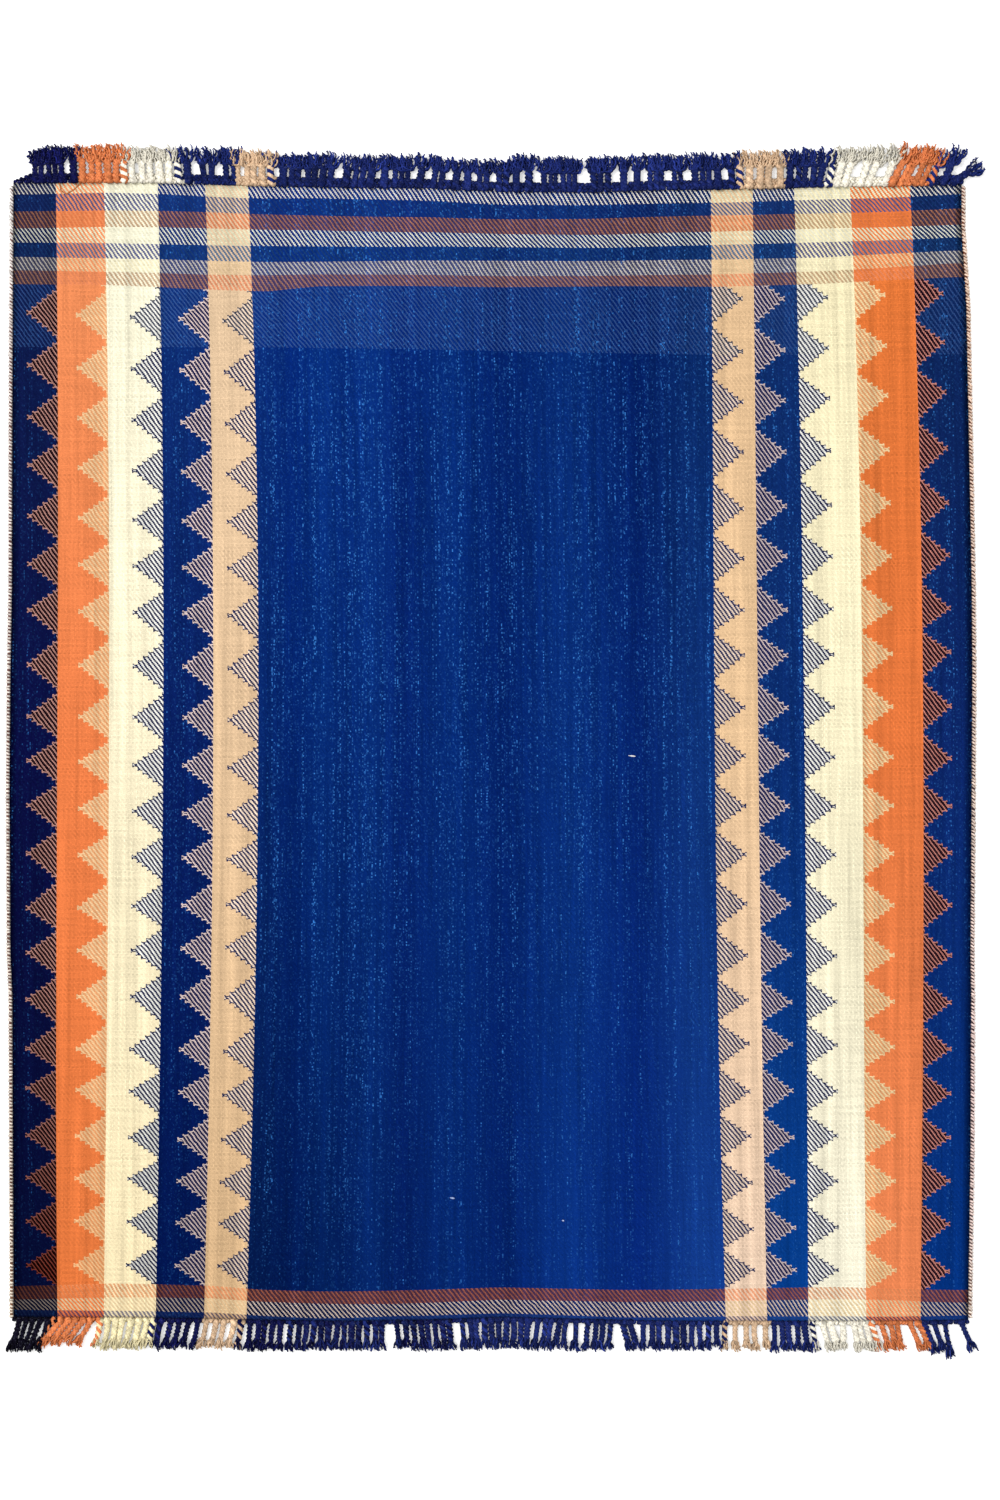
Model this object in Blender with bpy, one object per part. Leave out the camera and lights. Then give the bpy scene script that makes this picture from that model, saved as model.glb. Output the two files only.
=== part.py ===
"""Jajim rug: a flat woven wool cloth with whipped side edges and corded fringes.

Metres, +Z up. The rug lies flat with its underside at Z = 0, its length along Y,
and the origin under the centre of its bounding box.
"""
import math

import bpy
import numpy as np

MM = 0.001
GAP = 0.0003  # clearance between neighbouring solids

INDIGO = (0.008, 0.027, 0.19)  # linear colour of the dyed field and most cords
PEACH = (0.72, 0.46, 0.34)  # linear colour of the overcast stitches
WOOL_ROUGHNESS = 0.9

CLOTH_THICK = 2.6 * MM
WRAP_WIDE = 7.0 * MM
WRAP_THICK = 4.4 * MM
WRAP_TOP = 936.0 * MM  # the whipped edge ends just short of the fringes
WRAP_BOTTOM = -934.0 * MM
# The whipped edge's section, clockwise: shares of half its width and of its thickness.
WRAP_SECTION = ((-1.0, 0.5), (-0.7, 0.88), (0.0, 1.0), (0.7, 0.88), (1.0, 0.5),
                (1.0, 0.0), (-1.0, 0.0))

FOOTING_TALL = 14.0 * MM  # corded row that the top cords grow from
FOOTING_TAPER = 34.0 * MM  # length of the wedge at its left end
FOOTING_TIP = 0.25  # share of its height that the wedge starts with
HEADING_TALL = 3.0 * MM  # strip that joins the bottom cords
TOP_START, TOP_END = -797.0 * MM, 768.0 * MM  # where the combs begin and end across the width
BOTTOM_START, BOTTOM_END = -797.0 * MM, 778.0 * MM
CORD_WIDE = 9.0 * MM
TUFT_WIDE = 11.5 * MM
CORD_THICK = 7.0 * MM
CORD_CLEAR = 1.0 * MM  # least space between neighbouring cords
TUFT_FROM = 0.62  # share of a cord's length where its tuft starts

# Woven outline, millimetres: position along the length, left and right edge.
SIDE_ROWS = (
    # y, left, right
    (-940, -806.0, 787.0),
    (-860, -806.0, 788.0),
    (-660, -807.0, 791.0),
    (-400, -808.0, 792.0),
    (-330, -811.0, 791.0),
    (-60, -812.5, 793.0),
    (130, -811.0, 794.0),
    (270, -808.5, 793.0),
    (530, -808.0, 788.0),
    (735, -807.0, 784.0),
    (865, -806.0, 776.0),
    (945, -806.0, 771.0),
)
# Woven outline, millimetres: position across the width, bottom and top edge.
END_ROWS = (
    # x, bottom, top
    (-815, -934.5, 941.0),
    (-650, -935.5, 942.5),
    (-560, -936.0, 942.0),
    (-420, -938.5, 937.5),
    (-250, -941.0, 934.0),
    (-110, -939.0, 932.5),
    (10, -935.0, 927.0),
    (150, -938.0, 926.0),
    (280, -941.0, 930.0),
    (385, -941.0, 931.5),
    (560, -941.0, 935.5),
    (720, -940.5, 937.5),
    (800, -938.5, 941.0),
)
# Fringe groups, millimetres, left to right. A group's cords stand evenly from base_a to
# base_b, their tips from tip_a to tip_b, and reach is how far along Y the tips come.
TOP_GROUPS = (
    # cords, base_a, base_b, tip_a, tip_b, reach
    (4, -757, -699, -758, -700, 999),
    (5, -685, -628, -686, -630, 1003),
    (1, -614, -614, -618, -618, 996),
    (5, -600, -540, -606, -544, 999),
    (1, -524, -524, -530, -530, 995),
    (4, -509, -446, -514, -444, 998),
    (4, -427, -386, -427, -388, 994),
    (1, -372, -372, -375, -375, 990),
    (39, -354, 388, -356, 388, 990),
    (1, 402, 402, 402, 402, 990),
    (4, 418, 468, 419, 470, 994),
    (4, 485, 532, 488, 541, 996),
    (1, 546, 546, 560, 560, 994),
    (5, 562, 632, 576, 648, 1000),
    (5, 646, 706, 663, 722, 1002),
    (1, 720, 720, 738, 738, 992),
    (1, 737, 737, 763, 763, 1000),
    (1, 757, 757, 806.75, 806.75, 968),
)
BOTTOM_GROUPS = (
    (5, -788, -741, -803, -763, -992),
    (1, -729, -729, -750, -750, -986),
    (5, -718, -668, -736, -684, -982),
    (1, -655, -655, -666, -666, -985),
    (6, -643, -577, -649, -590, -989),
    (1, -565, -565, -577, -577, -987),
    (5, -553, -493, -565, -504, -988),
    (4, -479, -434, -489, -443, -987),
    (1, -421, -421, -428, -428, -988),
    (44, -406, 361, -411, 360, -991),
    (1, 378, 378, 377, 377, -990),
    (4, 395, 444, 395, 446, -990),
    (5, 458, 508, 460, 514, -992),
    (1, 521, 521, 530, 530, -990),
    (6, 534, 606, 546, 619, -991),
    (1, 619, 619, 634, 634, -990),
    (5, 632, 692, 648, 715, -989),
    (2, 706, 723, 728, 740, -994),
    (1, 741, 741, 753, 753, -1003),
    (1, 768, 768, 790, 790, -991),
)
# Small unevenness of the cords, millimetres, and its steps from cord to cord in radians.
BASE_SWAY, BASE_STEP = 1.2, 2.4
TIP_SWAY, TIP_STEP = 2.6, 1.9
REACH_SWAY, REACH_STEP = 3.0, 2.9
SWAY_FROM_CORDS = 20  # only the long plain groups wander


def side_edge(y, column):
    """X of the woven outline at y: column 1 is the left edge and 2 the right."""
    rows = np.array(SIDE_ROWS) * MM
    return float(np.interp(y, rows[:, 0], rows[:, column]))


def end_edge(x, column):
    """Y of the woven outline at x: column 1 is the bottom edge and 2 the top."""
    rows = np.array(END_ROWS) * MM
    return float(np.interp(x, rows[:, 0], rows[:, column]))


def cord_places(groups):
    """Base X, tip X and tip Y of every cord, left to right."""
    places = []
    for cords, base_a, base_b, tip_a, tip_b, reach in groups:
        sway = 1.0 if cords >= SWAY_FROM_CORDS else 0.0
        for i in range(cords):
            share = i / (cords - 1) if cords > 1 else 0.0
            base = base_a + (base_b - base_a) * share + sway * BASE_SWAY * math.sin(BASE_STEP * i)
            tip = tip_a + (tip_b - tip_a) * share + sway * TIP_SWAY * math.sin(TIP_STEP * i)
            short = REACH_SWAY * (0.5 - 0.5 * math.cos(REACH_STEP * i))
            places.append((base * MM, tip * MM, (reach - math.copysign(short, reach)) * MM))
    return places


def held_width(xs, index, wanted):
    """The wanted width, or what the neighbours at xs leave room for."""
    room = [abs(xs[index] - xs[near]) for near in (index - 1, index + 1) if 0 <= near < len(xs)]
    return min([wanted] + [space - CORD_CLEAR for space in room])


def finish(obj, colour, collection):
    """File the object in the rug's collection and give it its wool."""
    material = bpy.data.materials.new(obj.name + "_wool")
    material.use_nodes = True
    shader = material.node_tree.nodes["Principled BSDF"]
    shader.inputs["Base Color"].default_value = (*colour, 1.0)
    shader.inputs["Roughness"].default_value = WOOL_ROUGHNESS
    shader.inputs["Metallic"].default_value = 0.0
    obj.data.materials.append(material)
    collection.objects.link(obj)


def flat_piece(name, outline, thick):
    """A flat outline with its underside at Z = 0, extruded to its thickness."""
    curve = bpy.data.curves.new(name, "CURVE")
    curve.dimensions = "2D"
    curve.fill_mode = "BOTH"
    curve.extrude = thick / 2
    spline = curve.splines.new("POLY")
    spline.points.add(len(outline) - 1)
    for point, (x, y) in zip(spline.points, outline):
        point.co = (x, y, 0.0, 1.0)
    spline.use_cyclic_u = True
    piece = bpy.data.objects.new(name, curve)
    piece.location.z = thick / 2
    return piece


def cloth_outline():
    """The woven sheet between the whipped edges, anticlockwise from its lower left corner."""
    inset = WRAP_WIDE + GAP
    first_y, last_y = SIDE_ROWS[0][0] * MM, SIDE_ROWS[-1][0] * MM
    left_x = side_edge(first_y, 1) + inset
    right_x = side_edge(first_y, 2) - inset
    xs = [row[0] * MM for row in END_ROWS if left_x < row[0] * MM < right_x]
    bottom = [(x, end_edge(x, 1)) for x in [left_x] + xs + [right_x]]
    ys = [row[0] * MM for row in SIDE_ROWS[1:-1]]
    right = [(side_edge(y, 2) - inset, y) for y in ys]
    top_left = side_edge(last_y, 1) + inset
    top_right = side_edge(last_y, 2) - inset
    xs = [row[0] * MM for row in END_ROWS if top_left < row[0] * MM < top_right]
    top = [(x, end_edge(x, 2)) for x in [top_left] + xs + [top_right]]
    left = [(side_edge(y, 1) + inset, y) for y in ys]
    return bottom + right + top[::-1] + left[::-1]


def comb_outline(places, inner_edge, spine_edge, start, end):
    """One comb: its inner edge from start to end, then back along the spine and its cords."""
    inner_xs = [start] + [row[0] * MM for row in END_ROWS if start < row[0] * MM < end] + [end]
    outline = [(x, inner_edge(x)) for x in inner_xs]
    bases = [place[0] for place in places]
    tips = [place[1] for place in places]
    middles = [base + (tip - base) * TUFT_FROM for base, tip in zip(bases, tips)]
    outline.append((end, spine_edge(end)))
    for i in reversed(range(len(places))):
        base_y = spine_edge(bases[i])
        tip_y = places[i][2]
        middle_y = base_y + (tip_y - base_y) * TUFT_FROM
        base_half = held_width(bases, i, CORD_WIDE) / 2
        middle_half = held_width(middles, i, CORD_WIDE) / 2
        tip_half = held_width(tips, i, TUFT_WIDE) / 2
        outline.append((bases[i] + base_half, base_y))
        outline.append((middles[i] + middle_half, middle_y))
        outline.append((tips[i] + tip_half, tip_y))
        outline.append((tips[i] - tip_half, tip_y))
        outline.append((middles[i] - middle_half, middle_y))
        outline.append((bases[i] - base_half, base_y))
    outline.append((start, spine_edge(start)))
    return outline


def top_spine(x):
    """Outer edge of the footing row, which tapers to nothing at its left end."""
    taper = min(1.0, FOOTING_TIP + (x - TOP_START) / FOOTING_TAPER)
    return end_edge(x, 2) + GAP + FOOTING_TALL * taper


def bottom_spine(x):
    """Outer edge of the strip that joins the bottom cords."""
    return end_edge(x, 1) - GAP - HEADING_TALL


def wrap_piece(name, column):
    """A whipped edge: a low rounded roll with a flat underside, swept along the selvedge."""
    half = WRAP_WIDE / 2
    section = bpy.data.curves.new(name + "_section", "CURVE")
    section.dimensions = "2D"
    ring = section.splines.new("POLY")
    ring.points.add(len(WRAP_SECTION) - 1)
    for point, (wide_share, thick_share) in zip(ring.points, WRAP_SECTION):
        point.co = (wide_share * half, thick_share * WRAP_THICK, 0.0, 1.0)
    ring.use_cyclic_u = True
    profile = bpy.data.objects.new(name + "_section", section)
    profile.hide_render = True
    profile.display_type = "WIRE"

    path = bpy.data.curves.new(name, "CURVE")
    path.dimensions = "3D"
    path.twist_mode = "Z_UP"
    path.bevel_mode = "OBJECT"
    path.bevel_object = profile
    path.use_fill_caps = True
    spline = path.splines.new("POLY")
    ys = [WRAP_BOTTOM] + [row[0] * MM for row in SIDE_ROWS[1:-1]] + [WRAP_TOP]
    spline.points.add(len(ys) - 1)
    inward = half if column == 1 else -half
    for point, y in zip(spline.points, ys):
        point.co = (side_edge(y, column) + inward, y, 0.0, 1.0)
    return bpy.data.objects.new(name, path), profile


for old in list(bpy.data.objects):
    bpy.data.objects.remove(old, do_unlink=True)

rug = bpy.data.collections.new("jajim_rug")
guides = bpy.data.collections.new("guides")
bpy.context.scene.collection.children.link(rug)
bpy.context.scene.collection.children.link(guides)

finish(flat_piece("cloth", cloth_outline(), CLOTH_THICK), INDIGO, rug)
for side, edge_column in (("left", 1), ("right", 2)):
    wrap, wrap_section = wrap_piece("edge_wrap_" + side, edge_column)
    guides.objects.link(wrap_section)
    finish(wrap, PEACH, rug)

top_comb = comb_outline(cord_places(TOP_GROUPS), lambda x: end_edge(x, 2) + GAP,
                        top_spine, TOP_START, TOP_END)
finish(flat_piece("fringe_top", top_comb, CORD_THICK), INDIGO, rug)
bottom_comb = comb_outline(cord_places(BOTTOM_GROUPS), lambda x: end_edge(x, 1) - GAP,
                           bottom_spine, BOTTOM_START, BOTTOM_END)
finish(flat_piece("fringe_bottom", bottom_comb, CORD_THICK), INDIGO, rug)
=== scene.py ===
import bpy
import numpy as np
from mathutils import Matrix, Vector


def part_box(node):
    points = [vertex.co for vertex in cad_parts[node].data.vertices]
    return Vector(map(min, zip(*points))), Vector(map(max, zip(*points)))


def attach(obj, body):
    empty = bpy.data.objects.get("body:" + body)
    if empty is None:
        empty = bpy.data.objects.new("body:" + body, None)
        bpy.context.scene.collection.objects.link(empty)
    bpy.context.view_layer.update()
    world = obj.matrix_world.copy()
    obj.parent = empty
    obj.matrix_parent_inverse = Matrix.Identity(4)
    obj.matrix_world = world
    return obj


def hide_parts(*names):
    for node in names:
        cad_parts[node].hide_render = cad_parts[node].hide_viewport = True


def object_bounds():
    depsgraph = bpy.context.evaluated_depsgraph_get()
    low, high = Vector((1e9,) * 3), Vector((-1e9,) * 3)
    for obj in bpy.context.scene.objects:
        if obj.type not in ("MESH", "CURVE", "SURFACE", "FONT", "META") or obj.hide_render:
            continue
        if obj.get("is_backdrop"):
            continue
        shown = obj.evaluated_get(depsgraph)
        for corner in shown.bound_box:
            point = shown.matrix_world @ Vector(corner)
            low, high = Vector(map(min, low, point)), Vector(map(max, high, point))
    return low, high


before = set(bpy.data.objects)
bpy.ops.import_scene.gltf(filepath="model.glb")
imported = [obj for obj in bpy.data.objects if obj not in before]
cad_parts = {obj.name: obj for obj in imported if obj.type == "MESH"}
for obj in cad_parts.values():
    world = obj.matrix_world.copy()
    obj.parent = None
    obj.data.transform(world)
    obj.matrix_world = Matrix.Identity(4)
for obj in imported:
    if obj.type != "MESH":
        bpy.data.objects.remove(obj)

mm = 0.001
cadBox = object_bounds()
dice = np.random.default_rng(641)  # every uneven thing below draws from this one seeded source


def hexLinear(code):
    # sRGB hex to linear light: c / 12.92 in the darks, else ((c + 0.055) / 1.055) to the 2.4
    share = np.array([int(code[i:i + 2], 16) for i in (1, 3, 5)]) / 255
    return np.where(share <= 0.04045, share / 12.92, ((share + 0.055) / 1.055) ** 2.4)


def emptyMaterial(name):
    # a material with no nodes yet, and the one small function that adds a node to it: settings
    # are the node's own, such as its operation, and inputs holds plain values, sockets to link,
    # or whole nodes, whose first output is linked
    material = bpy.data.materials.new(name)
    material.use_nodes = True
    tree = material.node_tree
    tree.nodes.clear()

    def addNode(kind, inputs=None, **settings):
        node = tree.nodes.new("ShaderNode" + kind)
        for setting, value in settings.items():
            setattr(node, setting, value)
        for socket, value in (inputs or {}).items():
            if isinstance(value, bpy.types.Node):
                value = value.outputs[0]
            if isinstance(value, bpy.types.NodeSocket):
                tree.links.new(value, node.inputs[socket])
            else:
                node.inputs[socket].default_value = value
        return node

    return material, addNode


def meshPiece(name, points, faceSets, material):
    # points is (n, 3) and each face set is (faces, corners) of indices, all put in as arrays
    corners = np.concatenate([faces.ravel() for faces in faceSets])
    sizes = np.concatenate([np.full(len(faces), faces.shape[1]) for faces in faceSets])
    mesh = bpy.data.meshes.new(name)
    mesh.vertices.add(len(points))
    mesh.vertices.foreach_set("co", points.astype(np.float32).ravel())
    mesh.loops.add(len(corners))
    mesh.loops.foreach_set("vertex_index", corners.astype(np.int32))
    mesh.polygons.add(len(sizes))
    mesh.polygons.foreach_set("loop_start", (np.cumsum(sizes) - sizes).astype(np.int32))
    mesh.polygons.foreach_set("use_smooth", np.ones(len(sizes), bool))
    mesh.update(calc_edges=True)
    mesh.materials.append(material)
    piece = bpy.data.objects.new(name, mesh)
    bpy.context.scene.collection.objects.link(piece)
    return piece


def putValues(piece, name, domain, values):
    # a number for each point or face corner, or a colour where values has three columns
    values = np.asarray(values, np.float32)
    if values.shape[-1] == 3:
        values = np.insert(values, 3, 1.0, axis=-1)
        layer = piece.data.attributes.new(name, "FLOAT_COLOR", domain)
        layer.data.foreach_set("color", values.ravel())
    else:
        layer = piece.data.attributes.new(name, "FLOAT", domain)
        layer.data.foreach_set("value", values.ravel())


def putUv(piece, name, values):
    layer = piece.data.uv_layers.new(name=name)
    layer.data.foreach_set("uv", np.asarray(values, np.float32).ravel())


# The woven cloth

cloth = {
    "thick": 2.6 * mm,
    "endWide": 1.85 * mm,       # one warp end; the real 1.03 mm would be too fine to show
    "pickTall": 2.4 * mm,       # one weft pick at mid length, drawn coarser in the same way
    "pickGrowth": 0.2 * mm,     # how much taller a pick is for each metre towards the top
    "borderColumns": 6,
    "fieldColumns": 56,
    "rowTall": 13 * mm,
    "lift": 1.4 * mm,           # how far the cloth rises off the floor in its long soft waves
    "topReach": 110 * mm,       # how far in from each end its sag or wave is still felt
    "footReach": 80 * mm,
    "outlineDepth": 22 * mm,    # how far in from its furthest point a side's outline may come
    "wovenTone": 0.93,          # how a stripe's own weft looks beside its warp
    "toneReach": 0.9,           # how far from mid length the top and foot tones hold, in metres
    "bakeRim": 0.004,           # what is left bare round the baked sheet, as a share of it
}
# The teeth. A tooth's half height is a share of the row, falling from its base to its tip.
tooth = {
    "deep": 51 * mm,
    "lastDeep": 0.93,           # the outermost right stripe's teeth, as a share of the others
    "wander": 1.2 * mm,         # how far one column's teeth stray from the row
    "base": 0.43,
    "tip": 0.03,
    "steps": 6,
    "sloped": 0.25,             # how much of the stepped side is smoothed to a slope
    "barb": 0.018,              # how much further each step's outer end stands out
    "barbFrom": 0.7,            # where along its step the barb starts
    "rim": 0.022,               # how wide the turn of the weft is at the edge of a tooth
    "seam": 0.045,              # how deep the weft runs along the base between two teeth
}

# The stripes across the width: x of the left edge in mm at five heights of the rug. "cover" is
# the share of the twill that the warp covers, and "fleck" how much paler fibre shows in the yarn.
# Then come the yarn's tones at the top, middle and foot. In a tooth the neighbour's yarn crosses
# as the weft, and the last two tones are how the warp and that weft look there. The field's own
# tones are given further down.
stripeHeights = np.array([900, 500, 0, -500, -920]) * mm
stripes = (
    # yarn, x at the five heights, cover, fleck, top, middle, foot, warp and weft in a tooth
    ("navy", -799, -801, -805, -800, -799, 0.66, 0.25,
     "#0e1b48", "#0a0d3e", "#050a2c", "#180812", "#b5857a"),
    ("orange", -728, -724, -727, -727, -726, 0.50, 0.0,
     "#ea8d5a", "#eb7e48", "#e4783e", "#dc9a68", "#e8c294"),
    ("cream", -648, -641, -641, -644, -649, 0.48, 0.0,
     "#faf6db", "#fbefcc", "#f6e4b8", "#eeede4", "#1b2148"),
    ("navy", -559, -552, -551, -556, -563, 0.64, 0.5,
     "#0e2d72", "#081c5c", "#02134a", "#181c48", "#dcc7c0"),
    ("tan", -480, -471, -468, -474, -483, 0.48, 0.0,
     "#e6c7a3", "#e2c099", "#dab589", "#f4dcc4", "#222850"),
    ("field", -409, -397, -394, -401, -413, 0.64, 0.8),
    ("tan", 355, 357, 362, 367, 379, 0.48, 0.0,
     "#e2bd92", "#e7c297", "#f0d2b8", "#e0cab6", "#1e2650"),
    ("navy", 424, 428, 433, 439, 447, 0.64, 0.6,
     "#0f2a62", "#0a2a6c", "#063c8a", "#181e4c", "#c9b7b4"),
    ("cream", 493, 503, 508, 514, 515, 0.48, 0.0,
     "#f5e9be", "#f9efca", "#f5efd7", "#ebeae2", "#1b2148"),
    ("orange", 586, 599, 605, 608, 611, 0.50, 0.0,
     "#df7537", "#e4773e", "#eb8654", "#d49262", "#e4c898"),
    ("navy", 685, 699, 705, 705, 701, 0.66, 0.5,
     "#0d2250", "#0c2464", "#04307b", "#1c0a18", "#bf7d71"),
)
fieldStripe = 5  # the plain middle, by its place in that list

# The weft bands down the left edge, each from its own y in mm to the next one's. Over the navy a
# light weft sinks between the ends, and its tones there carry painted shade; the navy ends there
# keep only a share of their tone. "own" is each stripe's own weft, and "pale" the same with a
# paler blue for the navy.
# "blend" is how much of each other's colour the warp and the weft take on where the beat is close.
bands = (
    # y, weft over the orange and tan, over the cream, over the navy, share of the navy's tone, blend
    (941, "#dcd8b8", "#e6e2c8", "#e1dccf", 0.95, 0.0),
    (922, "#22487c", "#1c3078", "#1a3068", 1.0, 0.08),
    (894, "#cf6e42", "#af8864", "#a87050", 0.6, 0.12),
    (868, "#dcd8b8", "#e6e2c8", "#e0e0ce", 0.9, 0.0),
    (841, "#305e88", "#1c3078", "#1a3868", 1.0, 0.08),
    (817, "#dcbe94", "#e6dcb8", "#c7c0b4", 0.85, 0.08),
    (795, "#d98058", "#b08a68", "#aa795e", 0.65, 0.14),
    (774, "pale", "pale", "pale", 1.0, 0.0),
    (662, "own", "own", "own", 1.0, 0.0),
    (-880, "#d98456", "#cc8452", "#a05c42", 0.4, 0.16),
    (-899, "#d9bd94", "#dcc49a", "#c7b5a6", 0.5, 0.0),
    (-923, "#2c3158", "#39406a", "#283a6a", 1.0, 0.15),
    (-934.5, "own", "own", "own", 1.0, 0.0),
)
# How far, in mm, each band's upper edge runs above that height at these places across the rug,
# beyond the sag that the ends give it. It is nil at the ends themselves and over the long
# plain part between the two sets of bands.
driftPlaces = (-790, -630, -460, -375, -290, -170, 0, 200, 375, 550, 645, 760)
bandDrift = (
    # y, drift at each of the places
    (941, 0, 0, 0, 0, 0, 0, 0, 0, 0, 0, 0, 0),
    (922, 0, 2, -2, -3, -1, -2, -5, -5, -5, -3, -2, 2),
    (894, 0, 1, 0, -2, -3, -4, -4, -2, 0, 1, 2, 6),
    (868, -2, 0, -1, -2, -2, -4, -4, -5, -2, 1, 2, 5),
    (841, 2, 0, -2, -2, -2, -2, 0, -1, 2, 5, 7, 11),
    (817, 2, -1, -4, -5, -4, -2, 0, 0, 1, 3, 8, 13),
    (795, 2, -1, -5, -5, -3, -3, -4, -3, -2, 2, 7, 14),
    (774, 0, -2, -9, -11, -2, -1, -2, 0, -2, 2, 7, 12),
    (662, 8, 8, 8, 8, 7, 6, 3, -1, -4, -4, -4, -4),
    (540, 0, 0, 0, 0, 0, 0, 0, 0, 0, 0, 0, 0),
    (-840, 0, 0, 0, 0, 0, 0, 0, 0, 0, 0, 0, 0),
    (-880, -2, 3, 0, -6, -8, -7, -4, -6, -3, 0, -3, -6),
    (-899, -5, -1, -1, -6, -8, -9, -5, -6, -3, 0, -2, -7),
    (-923, 2, 1, 0, -4, -7, -4, -3, -6, -3, -3, -4, -3),
    (-934.5, 0, 0, 0, 0, 0, 0, 0, 0, 0, 0, 0, 0),
)
paleBlue = "#314e87"
palerTooth = "#3a4054"  # the same blue where it crosses the cream and tan as a tooth

# The apexes of the 21 rows of teeth, in mm up the rug, along the outermost and the innermost
# toothed stripe of each side.
toothRows = (
    # left outer, left inner, right inner, right outer
    (726, 713, 749, 760),
    (640, 628, 663, 678),
    (554, 541, 579, 596),
    (474, 460, 496, 503),
    (389, 380, 405, 414),
    (312, 304, 323, 327),
    (236, 226, 236, 240),
    (144, 141, 161, 164),
    (62, 54, 74, 75),
    (-14, -28, -6, -9),
    (-90, -104, -90, -88),
    (-167, -178, -168, -166),
    (-257, -252, -251, -252),
    (-329, -323, -336, -337),
    (-405, -404, -410, -413),
    (-488, -494, -481, -489),
    (-555, -566, -560, -563),
    (-632, -641, -633, -636),
    (-703, -710, -712, -709),
    (-775, -778, -787, -780),
    (-847, -850, -854, -857),
)
toothSpan = (0.43, 0.75)  # how far out from the middle line inner and outer stand, in metres
# What is left of the red, green and blue of each stripe's teeth at the foot, where they darken:
# painted shade, as the light falls off towards the foot at the left; the outer two also turn redder.
footDims = [(0.33, 0.13, 0.1), (0.97, 0.85, 0.75), (0.72,) * 3, (0.72,) * 3, (0.72,) * 3]
footDims += [(1, 1, 1)] * 6
# How some shares change, each as places in metres and the shares there. The first three and the
# fifth go up the rug, the fourth goes across it, and the last two go in from its edge: painted
# shadow of the whipping on the threads next to it.
ramps = {
    "toothFootShade": ((-0.85, -0.3), (1, 0)),            # how much of the teeth's darkening is felt
    # the next two: painted shade on the bands' weft over the left navy stripes, deepest at the foot
    "outerLeftBands": ((-0.9, 0.8), (0.32, 0.74)),   # the bands' light over the left outer navy
    "innerLeftBands": ((-0.9, -0.4), (0.62, 1)),     # and over the left inner navy
    "paleAcross": ((-0.4, 0.4), (1.08, 0.78)),       # light of the paler blue
    "fleckUp": ((-0.8, 0.1), (0.4, 1)),              # how much of the pale fibre shows
    "warpEdgeShadow": ((0, 6 * mm), (0.15, 1)),
    "weftEdgeShadow": ((0, 6 * mm), (0.3, 1)),
}
bandFleck = 0.25  # how much of the pale fibre shows where a light band sinks into the navy

# The field's uneven dyeing across its width.
fieldTones = (
    # x in mm, tone
    (-394, "#072363"), (-335, "#042065"), (-285, "#06286f"), (-255, "#052368"),
    (-205, "#072a73"), (-155, "#052066"), (-75, "#062870"), (10, "#041f64"),
    (120, "#082c76"), (235, "#052067"), (330, "#0d2f74"),
)
# The light on the field is a saddle: how strong it is, and how far across and along it grows.
fieldLight = {"strength": 0.5, "across": 0.4, "along": 0.9}


def cadEdge(node, axis, side):
    # one side of a CAD node's outline, read from its own points: the places along that side in
    # rising order, and how far out it is at each. axis is 0 for a left or right side.
    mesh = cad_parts[node].data
    points = np.empty(len(mesh.vertices) * 3, np.float32)
    mesh.vertices.foreach_get("co", points)
    points = points.reshape(-1, 3).astype(float)
    out = points[:, axis] * side
    points = points[out > out.max() - cloth["outlineDepth"]]
    points = points[np.argsort(points[:, 1 - axis])]
    return points[:, 1 - axis], points[:, axis]


leftEdge = cadEdge("cloth", 0, -1)
rightEdge = cadEdge("cloth", 0, 1)
footEdge = cadEdge("cloth", 1, -1)
topEdge = cadEdge("cloth", 1, 1)


def lift(x, y):
    # long soft waves: the mean of two crossing sine waves, between 0 and the cloth's lift
    wave = np.sin(7.1 * x + 2.3 * y + 0.4) + np.sin(-3.7 * x + 5.9 * y + 1.9)
    return cloth["lift"] * (0.5 + 0.25 * wave)


def pickCount(y):
    # picks from mid length up to y: the integral of dy / (pickTall + pickGrowth * y)
    growth = cloth["pickGrowth"]
    return np.log1p(growth * y / cloth["pickTall"]) / growth


def stripeLines(y):
    # x of every stripe edge at the heights y: a cubic through its five places, and the cloth's
    # own outline for the outermost two
    places = [np.array(row[1:6]) * mm for row in stripes]
    lines = [np.polyval(np.polyfit(stripeHeights, place, 3), y) for place in places]
    lines[0] = np.interp(y, *leftEdge)
    lines.append(np.interp(y, *rightEdge))
    return np.stack(lines, axis=-1)


def clothGrid():
    # columns share out each stripe evenly and rows share out each band, so that the edges of
    # both fall on grid lines
    perStripe = np.full(len(stripes), cloth["borderColumns"])
    perStripe[fieldStripe] = cloth["fieldColumns"]
    stripeOf = np.repeat(np.arange(len(stripes)), perStripe)
    shareOf = np.concatenate([np.arange(n) / n for n in perStripe])
    tops = np.array([row[0] for row in bands]) * mm
    perBand = np.maximum(2, np.round((tops[:-1] - tops[1:]) / cloth["rowTall"]).astype(int))
    bandOf = np.repeat(np.arange(len(perBand)), perBand)
    heights = [np.linspace(high, low, n, endpoint=False)
               for high, low, n in zip(tops[:-1], tops[1:], perBand)]
    return stripeOf, shareOf, bandOf, np.append(np.concatenate(heights), tops[-1])


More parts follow.
